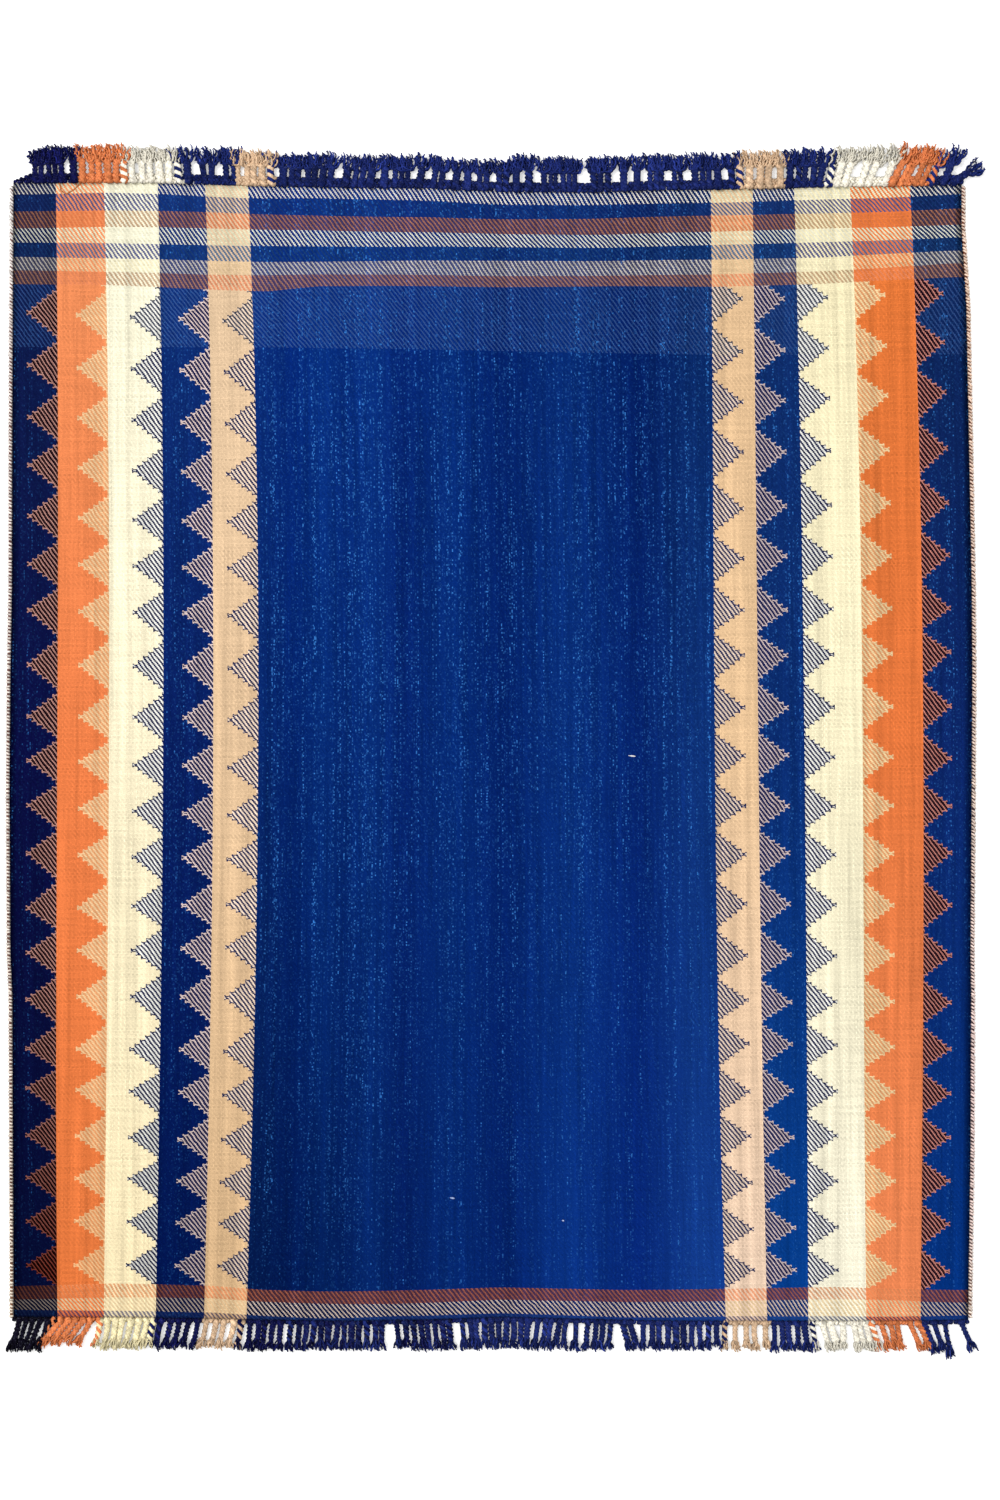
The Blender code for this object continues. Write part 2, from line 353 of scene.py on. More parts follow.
def clothPoints(stripeOf, shareOf, heights):
    # x = the stripe's left edge + a share of its width. y = the nominal height + the end's own
    # sag or wave, which dies away exponentially further in, + the bands' drift, straight from
    # place to place of its table. z = the waves + the thickness.
    column = np.append(stripeOf, stripeOf[-1])
    share = np.append(shareOf, 1.0)
    lines = stripeLines(heights)
    x = lines[:, column] + (lines[:, column + 1] - lines[:, column]) * share
    high = heights[:, None]
    topDip = np.interp(x, *topEdge) - heights[0]
    footDip = np.interp(x, *footEdge) - heights[-1]
    y = high + topDip * np.exp((high - heights[0]) / cloth["topReach"])
    y = y + footDip * np.exp((heights[-1] - high) / cloth["footReach"])
    levels = np.array([row[0] for row in bandDrift]) * mm
    across = [np.interp(x.mean(0), np.array(driftPlaces) * mm, row[1:]) for row in bandDrift]
    drift = [np.interp(heights, levels[::-1], column[::-1]) for column in np.transpose(across)]
    y = y + np.transpose(drift) * mm
    return np.stack([x, y, lift(x, y) + cloth["thick"]], axis=-1)


def threeTones(tones, y):
    # from the middle tone towards the top one above mid length, and the foot one below it
    top, middle, foot = [hexLinear(tone) for tone in tones]
    up = np.clip(y / cloth["toneReach"], 0, 1)[..., None]
    down = np.clip(-y / cloth["toneReach"], 0, 1)[..., None]
    return middle + (top - middle) * up + (foot - middle) * down


def tonesBetween(at, places, codes):
    # the tones at some places, straight in linear light between those of a table
    tones = np.array([hexLinear(code) for code in codes])
    return np.stack([np.interp(at, places, channel) for channel in tones.T], axis=-1)


def fieldTone(x, y):
    # the dyeing across the width, times a saddle of light: brighter at the top left and foot
    # right, darker at the other two corners, as 1 - strength u v with u and v from -1 to 1
    places, codes = zip(*fieldTones)
    u = np.clip(x / fieldLight["across"], -1, 1)
    v = np.clip(y / fieldLight["along"], -1, 1)
    light = 1 - fieldLight["strength"] * u * v
    return tonesBetween(x, np.array(places) * mm, codes) * light[..., None]


def toothNumber(x, y, outer, inner):
    # which tooth a place belongs to, as a number that is whole at each apex and runs on evenly
    # between two; outer and inner are columns of the table, mixed by how far out x stands
    numbers = []
    for column in (outer, inner):
        apexes = np.array(toothRows)[:, column] * mm
        apexes = apexes + dice.normal(0, tooth["wander"], len(toothRows))
        apexes = np.concatenate([[2 * apexes[0] - apexes[1]], apexes, [2 * apexes[-1] - apexes[-2]]])
        numbers.append(np.interp(-y, -apexes, np.arange(-1, len(toothRows) + 1)))
    out = np.clip((np.abs(x) - toothSpan[0]) / (toothSpan[1] - toothSpan[0]), 0, 1)
    return numbers[0] * out + numbers[1] * (1 - out)


def clothLook(piece, stripeOf, shareOf, bandOf, heights, grid):
    # what the twill needs to know at each face corner: the colours of the warp and the weft, and
    # of both in a tooth, how far out along its tooth it lies, which tooth, the warp's cover, and
    # how much pale fibre shows
    row = np.arange(len(bandOf))[:, None, None] + np.array([1, 1, 0, 0])
    column = np.arange(len(stripeOf))[None, :, None] + np.array([0, 1, 1, 0])
    x, y = grid[row, column, 0], grid[row, column, 1]
    lines = stripeLines(heights)[row]
    warp, weft, toothWarp, toothWeft = (np.zeros(x.shape + (3,)) for _ in range(4))
    reach, number, cover, fleck = (np.zeros(x.shape) for _ in range(4))
    overLight, overCream, overNavy, navyShare, blend = (
        np.array([band[place] for band in bands])[bandOf] for place in (1, 2, 3, 4, 5))
    for k, stripe in enumerate(stripes):
        here = np.flatnonzero(stripeOf == k)
        atX, atY = x[:, here], y[:, here]
        left = k < fieldStripe
        isBlue = stripe[0] in ("navy", "field")
        if k == fieldStripe:
            tone = fieldTone(atX, atY)
        else:
            tone = threeTones(stripe[8:11], atY)
            toothWarp[:, here] = hexLinear(stripe[11])
            toothWeft[:, here] = hexLinear(stripe[12])
        warp[:, here] = tone
        weft[:, here] = tone * cloth["wovenTone"]
        kind = overNavy if isBlue else overCream if stripe[0] == "cream" else overLight
        if isBlue:
            warp[:, here] *= navyShare[:, None, None, None]
        for r in np.flatnonzero(kind != "own"):
            if kind[r] != "pale":
                weft[r, here] = hexLinear(kind[r])
            elif isBlue:
                paleLight = np.interp(x[r, here], *ramps["paleAcross"])
                weft[r, here] = hexLinear(paleBlue) * paleLight[..., None]
            elif stripe[0] != "orange":
                toothWeft[r, here] = hexLinear(palerTooth)
        # painted shade on a light weft sunk between the navy ends at the left
        dim = np.ones(atX.shape)
        if k == 0:
            dim = np.interp(atY, *ramps["outerLeftBands"])
        elif left and isBlue:
            dim = np.interp(atY, *ramps["innerLeftBands"])
        weft[:, here] *= np.where((kind == "own")[:, None, None], 1, dim)[..., None]
        # painted shade on the teeth towards the foot at the left
        toothShade = 1 - np.interp(atY, *ramps["toothFootShade"])[..., None] * (1 - np.array(footDims[k]))
        toothWarp[:, here] *= toothShade
        toothWeft[:, here] *= toothShade
        base = lines[..., k + 1] if left else lines[..., k]
        deep = tooth["deep"] * (tooth["lastDeep"] if k == len(stripes) - 1 else 1)
        reach[:, here] = np.abs(atX - base) / deep
        number[:, here] = toothNumber(atX, atY, *((0, 1) if left else (3, 2)))
        cover[:, here] = stripe[6]
        fleck[:, here] = stripe[7] * np.where(navyShare < 1, bandFleck, 1)[:, None, None]
        fleck[:, here] *= np.interp(atY, *ramps["fleckUp"])
    share = blend[:, None, None, None]
    warp, weft = warp + (weft - warp) * share, weft + (warp - weft) * share
    # painted shadow of the whipping on the last threads at each side
    fromEdge = np.minimum(x - lines[..., 0], lines[..., -1] - x)
    warp *= np.interp(fromEdge, *ramps["warpEdgeShadow"])[..., None]
    weft *= np.interp(fromEdge, *ramps["weftEdgeShadow"])[..., None]
    toothed = np.isin(overNavy, ("own", "pale"))[:, None] & (stripeOf != fieldStripe)[None]
    reach[~toothed] = -1.0
    for name, values in (
        ("warpColour", warp), ("weftColour", weft),
        ("toothWarpColour", toothWarp), ("toothWeftColour", toothWeft),
        ("toothReach", reach), ("toothNumber", number), ("warpCover", cover), ("fleck", fleck),
    ):
        putValues(piece, name, "CORNER", values)
    # the threads laid straight: "weave" counts ends across and picks up, and "OFBake" fills the
    # unit square, but for a bare rim, with the same straight sheet
    line = stripeLines(0.0)
    straight = np.append(line[stripeOf] + (line[stripeOf + 1] - line[stripeOf]) * shareOf, line[-1])
    across, up = np.broadcast_arrays(straight[column], heights[row])
    putUv(piece, "weave", np.stack([across / cloth["endWide"], pickCount(up)], axis=-1))
    acrossShare = (across - straight[0]) / (straight[-1] - straight[0])
    upShare = (up - heights[-1]) / (heights[0] - heights[-1])
    rim = cloth["bakeRim"]
    putUv(piece, "OFBake", rim + (1 - 2 * rim) * np.stack([acrossShare, upShare], axis=-1))


def twillWool():
    # Hand-spun sheep's wool in a 2/2 twill, dyed in the hank: matt, with diagonal lines that run
    # down to the right, streaks from end to end, and paler fibre in the blue.
    material, addNode = emptyMaterial("handSpunWoolTwill")
    place = addNode("TexCoord").outputs["Object"]
    weave = addNode("UVMap", uv_map="weave")
    warp, weft, toothWarp, toothWeft = (
        addNode("Attribute", attribute_name=name).outputs["Color"]
        for name in ("warpColour", "weftColour", "toothWarpColour", "toothWeftColour"))
    reach, number, cover, fleck = (
        addNode("Attribute", attribute_name=name).outputs["Fac"]
        for name in ("toothReach", "toothNumber", "warpCover", "fleck"))

    # the threads wander by about half a thread over 15 mm
    wander = addNode("TexNoise", {"Vector": place, "Scale": 65, "Detail": 2})
    thread = addNode("VectorMath", {0: wander.outputs["Color"], 1: (2.2, 1.6, 0), 2: weave},
                     operation="MULTIPLY_ADD")
    split = addNode("SeparateXYZ", {0: thread})
    ends, picks = split.outputs["X"], split.outputs["Y"]
    endNumber = addNode("Math", {0: ends}, operation="FLOOR")
    pickNumber = addNode("Math", {0: picks}, operation="FLOOR")

    # 2/2 twill: the warp is on top while (end + pick) / 4 is in the first part of its turn
    both = addNode("Math", {0: endNumber, 1: picks}, operation="ADD")
    quarter = addNode("Math", {0: both, 1: 0.25}, operation="MULTIPLY")
    phase = addNode("Math", {0: quarter}, operation="FRACT")
    twill = addNode("Math", {0: phase, 1: cover}, operation="LESS_THAN")

    # a tooth: near its apex row within a half height that falls in small steps from its base to
    # its tip, with a barb at the outer end of each step, and a seam along the base
    nearest = addNode("Math", {0: number, 1: 0.5}, operation="PINGPONG")
    stepped = addNode("MapRange", {"Value": reach, "From Min": 0.0, "From Max": 1.0,
                                   "To Min": tooth["base"], "To Max": tooth["tip"],
                                   "Steps": tooth["steps"] - 1}, interpolation_type="STEPPED")
    sloped = addNode("MapRange", {"Value": reach, "From Min": 0.02, "From Max": 0.9,
                                  "To Min": tooth["base"], "To Max": tooth["tip"]})
    half = addNode("Mix", {0: tooth["sloped"], 2: stepped, 3: sloped}, data_type="FLOAT")
    inStep = addNode("Math", {0: reach, 1: tooth["steps"]}, operation="MULTIPLY")
    stepShare = addNode("Math", {0: inStep}, operation="FRACT")
    barb = addNode("Math", {0: stepShare, 1: tooth["barbFrom"]}, operation="GREATER_THAN")
    barbed = addNode("Math", {0: barb, 1: tooth["barb"], 2: half}, operation="MULTIPLY_ADD")
    inside = addNode("Math", {0: barbed, 1: nearest}, operation="SUBTRACT")
    within = addNode("Math", {0: inside, 1: 0.0}, operation="GREATER_THAN")
    seam = addNode("Math", {0: reach, 1: tooth["seam"]}, operation="LESS_THAN")
    either = addNode("Math", {0: within, 1: seam}, operation="MAXIMUM")
    outward = addNode("Math", {0: reach, 1: 0.5, 2: 0.5}, operation="COMPARE")
    isTooth = addNode("Math", {0: either, 1: outward}, operation="MULTIPLY")
    # the weft turns back at the rim of a tooth and covers the warp there
    rim = addNode("Math", {0: inside, 1: tooth["rim"]}, operation="LESS_THAN")
    onRim = addNode("Math", {0: rim, 1: within}, operation="MULTIPLY")
    toothRim = addNode("Math", {0: onRim, 1: isTooth}, operation="MULTIPLY")
    warpUp = addNode("Math", {0: twill, 1: toothRim}, operation="SUBTRACT", use_clamp=True)

    # round yarns: a pick or an end drops by (2 share - 1) squared across its width, and each has
    # its own tone, which drifts along it over some 100 mm
    drops, tones = [], []
    for count, along, stretch in (
        (picks, {0: ends, 1: pickNumber}, (0.02, 5.77, 0)),
        (ends, {0: endNumber, 1: picks}, (7.31, 0.02, 0)),
    ):
        share = addNode("Math", {0: count}, operation="FRACT")
        side = addNode("Math", {0: share, 1: 2.0, 2: -1.0}, operation="MULTIPLY_ADD")
        drops.append(addNode("Math", {0: side, 1: side}, operation="MULTIPLY"))
        threadPlace = addNode("CombineXYZ", along)
        point = addNode("VectorMath", {0: threadPlace, 1: stretch}, operation="MULTIPLY")
        tones.append(addNode("TexNoise", {"Vector": point, "Scale": 1.0, "Detail": 1.0},
                             noise_dimensions="2D"))
    drop = addNode("Mix", {0: warpUp, 2: drops[0], 3: drops[1]}, data_type="FLOAT")
    crown = addNode("Math", {0: 1.0, 1: drop}, operation="SUBTRACT")
    yarnTone = addNode("Mix", {0: warpUp, 2: tones[0], 3: tones[1]}, data_type="FLOAT")

    # streaks of the dye, some 14 mm wide and 600 mm long, with finer ones in them
    streakPoint = addNode("VectorMath", {0: weave, 1: (0.13, 0.004, 0)}, operation="MULTIPLY")
    streak = addNode("TexNoise", {"Vector": streakPoint, "Scale": 1.0, "Detail": 3.0},
                     noise_dimensions="2D")
    toneSum = addNode("Math", {0: yarnTone, 1: streak}, operation="ADD")
    tone = addNode("MapRange", {"Value": toneSum, "From Min": 0.5, "From Max": 1.5,
                                "To Min": 0.61, "To Max": 1.1})

    # paler dots one pick long here and there, more of them where a tall cloud of noise is high
    # and along the ends that were spun with more pale fibre
    endDice = addNode("TexWhiteNoise", {"W": endNumber}, noise_dimensions="1D")
    endFibre = addNode("Math", {0: endDice, 1: 3.0}, operation="POWER")
    endPaler = addNode("Math", {0: endFibre, 1: 2.8, 2: 0.3}, operation="MULTIPLY_ADD")
    floatPlace = addNode("CombineXYZ", {0: endNumber, 1: pickNumber})
    floatDice = addNode("TexWhiteNoise", {"Vector": floatPlace}, noise_dimensions="2D")
    rare = addNode("Math", {0: floatDice, 1: 8.0}, operation="POWER")
    cloudPoint = addNode("VectorMath", {0: place, 1: (95, 5, 0)}, operation="MULTIPLY")
    cloud = addNode("TexNoise", {"Vector": cloudPoint, "Scale": 1.0, "Detail": 2.0},
                    noise_dimensions="2D")
    cloudy = addNode("MapRange", {"Value": cloud, "From Min": 0.35, "From Max": 0.68,
                                  "To Min": 0.25, "To Max": 1.0})
    paler = addNode("Math", {0: rare, 1: cloudy}, operation="MULTIPLY")
    plain = addNode("Math", {0: 1.0, 1: isTooth}, operation="SUBTRACT")
    fleckHere = addNode("Math", {0: plain, 1: fleck}, operation="MULTIPLY")
    fleckEnd = addNode("Math", {0: fleckHere, 1: endPaler}, operation="MULTIPLY")
    palest = addNode("Math", {0: paler, 1: fleckEnd}, operation="MULTIPLY", use_clamp=True)

    under = addNode("Mix", {0: isTooth, 6: weft, 7: toothWeft}, data_type="RGBA").outputs[2]
    over = addNode("Mix", {0: isTooth, 6: warp, 7: toothWarp}, data_type="RGBA").outputs[2]
    onTop = addNode("Mix", {0: warpUp, 6: under, 7: over}, data_type="RGBA").outputs[2]
    flecked = addNode("Mix", {0: palest, 6: onTop, 7: (*hexLinear("#3476c4"), 1)},
                      data_type="RGBA").outputs[2]
    # painted shade and light: each yarn darker down its sides and lighter on its crown
    shade = addNode("MapRange", {"Value": crown, "From Min": 0.0, "From Max": 1.0,
                                 "To Min": 0.82, "To Max": 1.1})
    gain = addNode("Math", {0: shade, 1: tone}, operation="MULTIPLY")
    colour = addNode("VectorMath", {0: flecked, "Scale": gain}, operation="SCALE")

    # fibre fuzz of about 0.7 mm on top of the round yarns, which stand 0.5 mm high
    fuzz = addNode("TexNoise", {"Vector": place, "Scale": 1400, "Detail": 2})
    height = addNode("Math", {0: fuzz, 1: 0.5, 2: crown}, operation="MULTIPLY_ADD")
    bump = addNode("Bump", {"Strength": 0.6, "Distance": 0.5 * mm, "Height": height})
    wool = addNode("BsdfPrincipled", {"Base Color": colour, "Roughness": 0.92, "IOR": 1.55,
                                      "Specular IOR Level": 0.0, "Normal": bump})
    addNode("OutputMaterial", {"Surface": wool})
    return material


stripeOf, shareOf, bandOf, heights = clothGrid()
grid = clothPoints(stripeOf, shareOf, heights)
index = np.arange(grid.shape[0] * grid.shape[1]).reshape(grid.shape[:2])
squares = np.stack([index[1:, :-1], index[1:, 1:], index[:-1, 1:], index[:-1, :-1]], axis=-1)
rug = meshPiece("woven_cloth", grid.reshape(-1, 3), [squares.reshape(-1, 4)], twillWool())
clothLook(rug, stripeOf, shareOf, bandOf, heights, grid)
thicken = rug.modifiers.new("both faces", "SOLIDIFY")
thicken.thickness = cloth["thick"]
thicken.offset = -1.0
print("cloth:", len(squares.reshape(-1, 4)), "squares a face")


# Yarn pieces: the whipped edges and the fringes

def unit(vectors):
    return vectors / np.maximum(np.linalg.norm(vectors, axis=-1, keepdims=True), 1e-9)


yarnShade = {"middle": 0.62, "swing": 0.46}


def yarns(paths, radii, sides, colours, reference=(0, 0, 1)):
    # Many round yarns at once: paths is (yarns, rings, 3), radii (yarns, rings), colours (yarns, 3).
    # point = path + radius (cos a * across + sin a * over), where across is at right angles to the
    # path and to the reference direction, and over is at right angles to the path and to across. A
    # flat cap closes each end. A yarn is darker down its sides, where its neighbours shade it:
    # colour * (middle + swing * up), with up from -1 to 1.
    count, rings = radii.shape
    along = unit(np.gradient(paths, axis=1))
    across = unit(np.cross(along, reference))
    over = np.cross(across, along)
    a = np.arange(sides)[:, None] * 2 * np.pi / sides
    circle = np.cos(a) * across[:, :, None] + np.sin(a) * over[:, :, None]
    points = paths[:, :, None] + radii[:, :, None, None] * circle
    index = np.arange(count * rings * sides).reshape(count, rings, sides)
    after = np.roll(index, -1, axis=2)
    walls = np.stack([index[:, :-1], index[:, 1:], after[:, 1:], after[:, :-1]], axis=-1)
    caps = np.concatenate([index[:, 0], index[:, -1, ::-1]])
    lengths = np.linalg.norm(np.diff(paths, axis=1), axis=-1).sum(1)
    share = np.arange(rings) / (rings - 1)
    turn = np.arange(sides + 1) / sides
    uv = np.zeros((count, rings - 1, sides, 4, 2))
    uv[..., 0] = np.stack([turn[:-1], turn[:-1], turn[1:], turn[1:]], axis=-1)
    uv[..., 1] = np.stack([share[:-1], share[1:], share[1:], share[:-1]], axis=-1)[:, None]
    uv[..., 1] *= lengths[:, None, None, None]
    tones = colours[:, None, None] * (yarnShade["middle"] + yarnShade["swing"] * circle[..., 2:])
    return {"points": points.reshape(-1, 3), "walls": walls.reshape(-1, 4), "caps": caps,
            "uv": uv.reshape(-1, 2), "colours": tones.reshape(-1, 3)}


def yarnPiece(name, batches, material):
    # several batches of yarns as one piece, with their colours and the turns and metres along
    points, faceSets, uvs, start = [], [], [], 0
    for batch in batches:
        points.append(batch["points"])
        faceSets += [batch["walls"] + start, batch["caps"] + start]
        uvs += [batch["uv"], np.zeros((batch["caps"].size, 2))]
        start += len(batch["points"])
    piece = meshPiece(name, np.concatenate(points), faceSets, material)
    putValues(piece, "yarnColour", "POINT", np.concatenate([batch["colours"] for batch in batches]))
    putUv(piece, "yarn", np.concatenate(uvs))
    triangles = sum((faces.shape[1] - 2) * len(faces) for faces in faceSets)
    print(f"{name}: {triangles} triangles")
    return piece


def spunWool(name, plyTwist, strength):
    # Hand-spun, plied and twisted wool: matt, with the fibres' slant round each ply, painted shade
    # between its fibre ridges and a little of the dye's unevenness. plyTwist is the metres from one
    # fibre ridge to the next.
    material, addNode = emptyMaterial(name)
    place = addNode("TexCoord").outputs["Object"]
    dye = addNode("Attribute", attribute_name="yarnColour").outputs["Color"]
    yarn = addNode("UVMap", uv_map="yarn")
    split = addNode("SeparateXYZ", {0: yarn})
    # a ridge slants round the ply: 2 turns + metres along / plyTwist
    alongTurns = addNode("Math", {0: split.outputs["Y"], 1: 1 / plyTwist}, operation="MULTIPLY")
    slant = addNode("Math", {0: split.outputs["X"], 1: 2.0, 2: alongTurns},
                    operation="MULTIPLY_ADD")
    ridge = addNode("Math", {0: slant, 1: 0.5}, operation="PINGPONG")
    fuzz = addNode("TexNoise", {"Vector": place, "Scale": 900, "Detail": 2})
    height = addNode("Math", {0: ridge, 1: fuzz}, operation="ADD")
    bump = addNode("Bump", {"Strength": strength, "Distance": 0.5 * mm, "Height": height})
    blotch = addNode("TexNoise", {"Vector": place, "Scale": 170, "Detail": 2})
    tone = addNode("MapRange", {"Value": blotch, "From Min": 0.3, "From Max": 0.7,
                                "To Min": 0.6, "To Max": 1.1})
    # painted shade between the fibre ridges, and a little painted light on their tops
    grooveShade = addNode("MapRange", {"Value": ridge, "From Min": 0.0, "From Max": 0.5,
                                  "To Min": 0.82, "To Max": 1.08})
    gain = addNode("Math", {0: tone, 1: grooveShade}, operation="MULTIPLY")
    dyed = addNode("VectorMath", {0: dye, "Scale": gain}, operation="SCALE")
    # loose fibres catch the light in paler flecks of about 2 mm
    loose = addNode("TexNoise", {"Vector": place, "Scale": 420, "Detail": 1})
    catch = addNode("MapRange", {"Value": loose, "From Min": 0.56, "From Max": 0.72,
                                 "To Min": 0.0, "To Max": 0.5})
    paler = addNode("VectorMath", {0: dye, 1: (1.1, 1.2, 1.15), 2: (0.05, 0.055, 0.08)},
                    operation="MULTIPLY_ADD")
    colour = addNode("Mix", {0: catch, 6: dyed, 7: paler}, data_type="RGBA").outputs[2]
    wool = addNode("BsdfPrincipled", {"Base Color": colour, "Roughness": 0.95, "IOR": 1.55,
                                      "Specular IOR Level": 0.03, "Normal": bump})
    addNode("OutputMaterial", {"Surface": wool})
    return material


whip = {
    "wide": 7.0 * mm,
    "pitch": 5.6 * mm,         # from one stitch to the next
    "yarnWide": 3.9 * mm,
    "low": 1.9 * mm,           # how high the stitches' middle line starts and how high it arches
    "high": 4.4 * mm,
    "arch": (-0.12, 1.12),     # the share of a half turn that a stitch starts and ends at
    "swell": (0.7, 0.92, 1, 1, 1, 1, 0.92, 0.7),  # its thickness from one end to the other
    "sides": 6,
    "uneven": 0.5 * mm,
    "thickVary": (0.82, 1.06),  # how one stitch's thickness and tone differ from the next's
    "toneVary": (0.7, 1.06),
    "tuck": 0.55,              # how far a stitch's ends lie inside the width, in yarn radii
    "coreWide": 5.2 * mm,
    "coreHigh": 2.2 * mm,
    "coreOff": 0.3 * mm,       # between the core and the cloth
    "coreRings": 160,
    "coreSides": 8,
    "coreShade": 0.6,          # light left on the core under the stitches
    "clear": 0.1 * mm,         # the least that yarn stays over the floor
}
# The stitches' yarn from the top of each edge to its foot, and the shadowed core under them.
whipTones = (
    # y, left stitch, left core, right stitch, right core
    (0.93, "#fffaf6", "#8a5c58", "#ffe6d4", "#8c4020"),
    (0.74, "#fff4ee", "#94665c", "#ffdcc2", "#8c4a2c"),
    (0.30, "#fff4ec", "#8c5e58", "#f8dac8", "#5a3428"),
    (-0.10, "#fff4ea", "#94685c", "#f4dccc", "#40242c"),
    (-0.55, "#fff0e2", "#845848", "#ffe2dc", "#54383c"),
    (-0.80, "#fff0de", "#7c5a48", "#ffe6dc", "#644a4c"),
    (-0.94, "#fff2de", "#a8744c", "#ffeedf", "#a06a52"),
)
# How much further up the rug a stitch's inner end stands than its outer one: y in m, mm.
leftSlants = ((-0.9, -1.0), (0.3, -1.0), (0.7, -4.0), (0.94, -6.5))
rightSlants = ((-0.9, 3.5), (0.9, 4.5))


def toneAlong(y, column):
    # a column of that table, from the foot up
    columns = list(zip(*whipTones[::-1]))
    return tonesBetween(y, columns[0], columns[column])


def whippedEdge(name, node, clothEdge, side, slants, stitchColumn, coreColumn):
    # overcast stitches over a thin core. A stitch arches in the X-Z plane over a half turn:
    # x = middle - side * half * cos t, z = low + (high - low) sin t, and y slants with cos t.
    foot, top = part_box(node)
    y = np.arange(foot.y + whip["pitch"] / 2, top.y, whip["pitch"])
    y = y + dice.normal(0, whip["uneven"], len(y))
    edge = np.interp(y, *clothEdge) + side * whip["wide"]
    middle = edge - side * whip["wide"] / 2
    radius = whip["yarnWide"] / 2
    t = np.linspace(*whip["arch"], len(whip["swell"])) * np.pi
    half = whip["wide"] / 2 - radius * whip["tuck"]
    x = middle[:, None] - side * half * np.cos(t)
    z = lift(edge, y)[:, None] + whip["low"] + (whip["high"] - whip["low"]) * np.sin(t)
    z = np.maximum(z, radius * whip["thickVary"][1] + whip["clear"])
    slant = np.interp(y, *zip(*slants))[:, None] * mm / 2
    slant = (slant + dice.normal(0, whip["uneven"], (len(y), 1))) * np.cos(t)
    paths = np.stack([x, y[:, None] + slant, z], axis=-1)
    radii = radius * dice.uniform(*whip["thickVary"], (len(y), 1)) * np.array(whip["swell"])
    tones = toneAlong(y, stitchColumn) * dice.uniform(*whip["toneVary"], (len(y), 1))
    stitches = yarns(paths, radii, whip["sides"], tones, (0, 1, 0))
    y = np.linspace(foot.y, top.y, whip["coreRings"])
    radius = whip["coreWide"] / 2
    x = np.interp(y, *clothEdge) + side * (radius + whip["coreOff"])
    z = np.maximum(lift(x, y) + whip["coreHigh"], radius + whip["clear"])
    path = np.stack([x, y, z], axis=-1)[None]
    tones = toneAlong(y, coreColumn)
    core = yarns(path, np.full((1, len(y)), radius), whip["coreSides"], tones[:1])
    core["colours"] = np.repeat(tones * whip["coreShade"], whip["coreSides"], axis=0)
    return yarnPiece(name, [stitches, core], edgeWool)


edgeWool = spunWool("whippedWoolYarn", 2.4 * mm, 0.5)
leftWhip = whippedEdge("whipped_edge_left", "edge_wrap_left", leftEdge, -1, leftSlants, 1, 2)
rightWhip = whippedEdge("whipped_edge_right", "edge_wrap_right", rightEdge, 1, rightSlants, 3, 4)


fringe = {
    "thickest": 15.5 * mm,     # a cord that is wider than this lies flat
    "twist": 13.0 * mm,        # one full turn of a cord's two plies
    "plyRings": 12,
    "plySides": 7,
    "plyRound": 0.29,          # a ply's radius, its swing out and up, the height it swings about
    "plyOut": 0.24,            # and the least height of its line, all as shares of the cord's
    "plyUp": 0.13,             # width or thickness
    "plyHigh": 0.38,
    "plyLow": 0.3,
    "rootOff": 0.5 * mm,       # from the cloth's end to where a cord starts
    "press": 1 * mm,           # how much wider than their step touching cords are
    "cordVary": (0.92, 1.04),  # how one cord's width differs from the next's
    "flareOver": 0.08,         # the share of its length over which a cord's flare dies away
    "bow": 0.8 * mm,           # how far a cord bows to one side
    "stray": 1.2,              # how far the cords of a group stray from an even step, in mm
    "short": 3.0,              # how far short of the group's reach a cord may end, in mm
    "strandRings": 13,
    "strandSides": 3,
    "strandWide": 3.9 * mm,
    "strandHigh": 5.0 * mm,    # how high the loose strands lie, and by how much that varies
    "strandRise": 3.4 * mm,
    "strandFrom": 0.06,        # the share of a cord's length by which they start inside its twist
    "strandLeave": 0.36,       # how far to the side they start, as a share of the cord's width
    "strandLong": (0.45, 1.0),  # the shortest and the longest, before a power evens them out
    "strandPower": 0.6,
    "strandVary": (0.75, 1.1),  # how one strand's width differs from the next's
    "strandThin": 0.3,         # how much of its width a strand has lost at its tip
    "coilVary": (0.4, 1),      # how one strand's coil differs in width from the next's
    "coilHigh": 0.6,           # how high a coil is, as a share of how wide
    "brightest": 0.9,          # the most light in any channel of the opened yarn's tone
    "clear": 0.1 * mm,         # the least that a knot stays over the floor, and a strand twice it
}
knot = {
    "step": 6.5 * mm,
    "off": 0.3 * mm,           # from the cloth's end to where the rows start
    "long": 13.0 * mm,
    "wide": 8.0 * mm,
    "rings": 4,
    "sides": 4,
    "high": 3.4 * mm,
    "tilt": 0.9,               # the slant, in radians, one way in a row and the other in the next
    "across": 0.8,             # how much of its length a knot takes up across and along the rug
    "along": 0.55,
    "ends": 0.35,              # its thickness at the ends, as a share of the middle's
    "taper": 34.0 * mm,        # where the rows begin they grow to their full depth over this
    "taperFrom": 0.25,
    "stray": 0.7 * mm,
    "tiltStray": 0.15,
    "highStray": 0.3 * mm,
}
topMake = {
    "outward": 1,
    "knotRows": 3,
    "knotsTall": 14.0 * mm,
    "knotsFrom": -797 * mm,
    "knotsTo": 768 * mm,
    "cordWide": 15.5 * mm,
    "touching": 15.0 * mm,     # cords that stand closer than this touch
    "tuftWide": 30.0 * mm,
    "twisted": 0.58,           # share of a cord's length that is still twisted
    "flare": 0.0,              # how much wider a cord is where it leaves the cloth
    "strands": 19,             # loose yarn ends in a tuft
    "curl": 3.0 * mm,          # how wide a loose end coils, and how far it turns in radians
    "turns": (7, 15),
    "fan": 0.32,               # under 1 spreads a tuft early, over 1 late
    "fluffed": 1.6,            # how much brighter the opened yarn is than the twisted
}
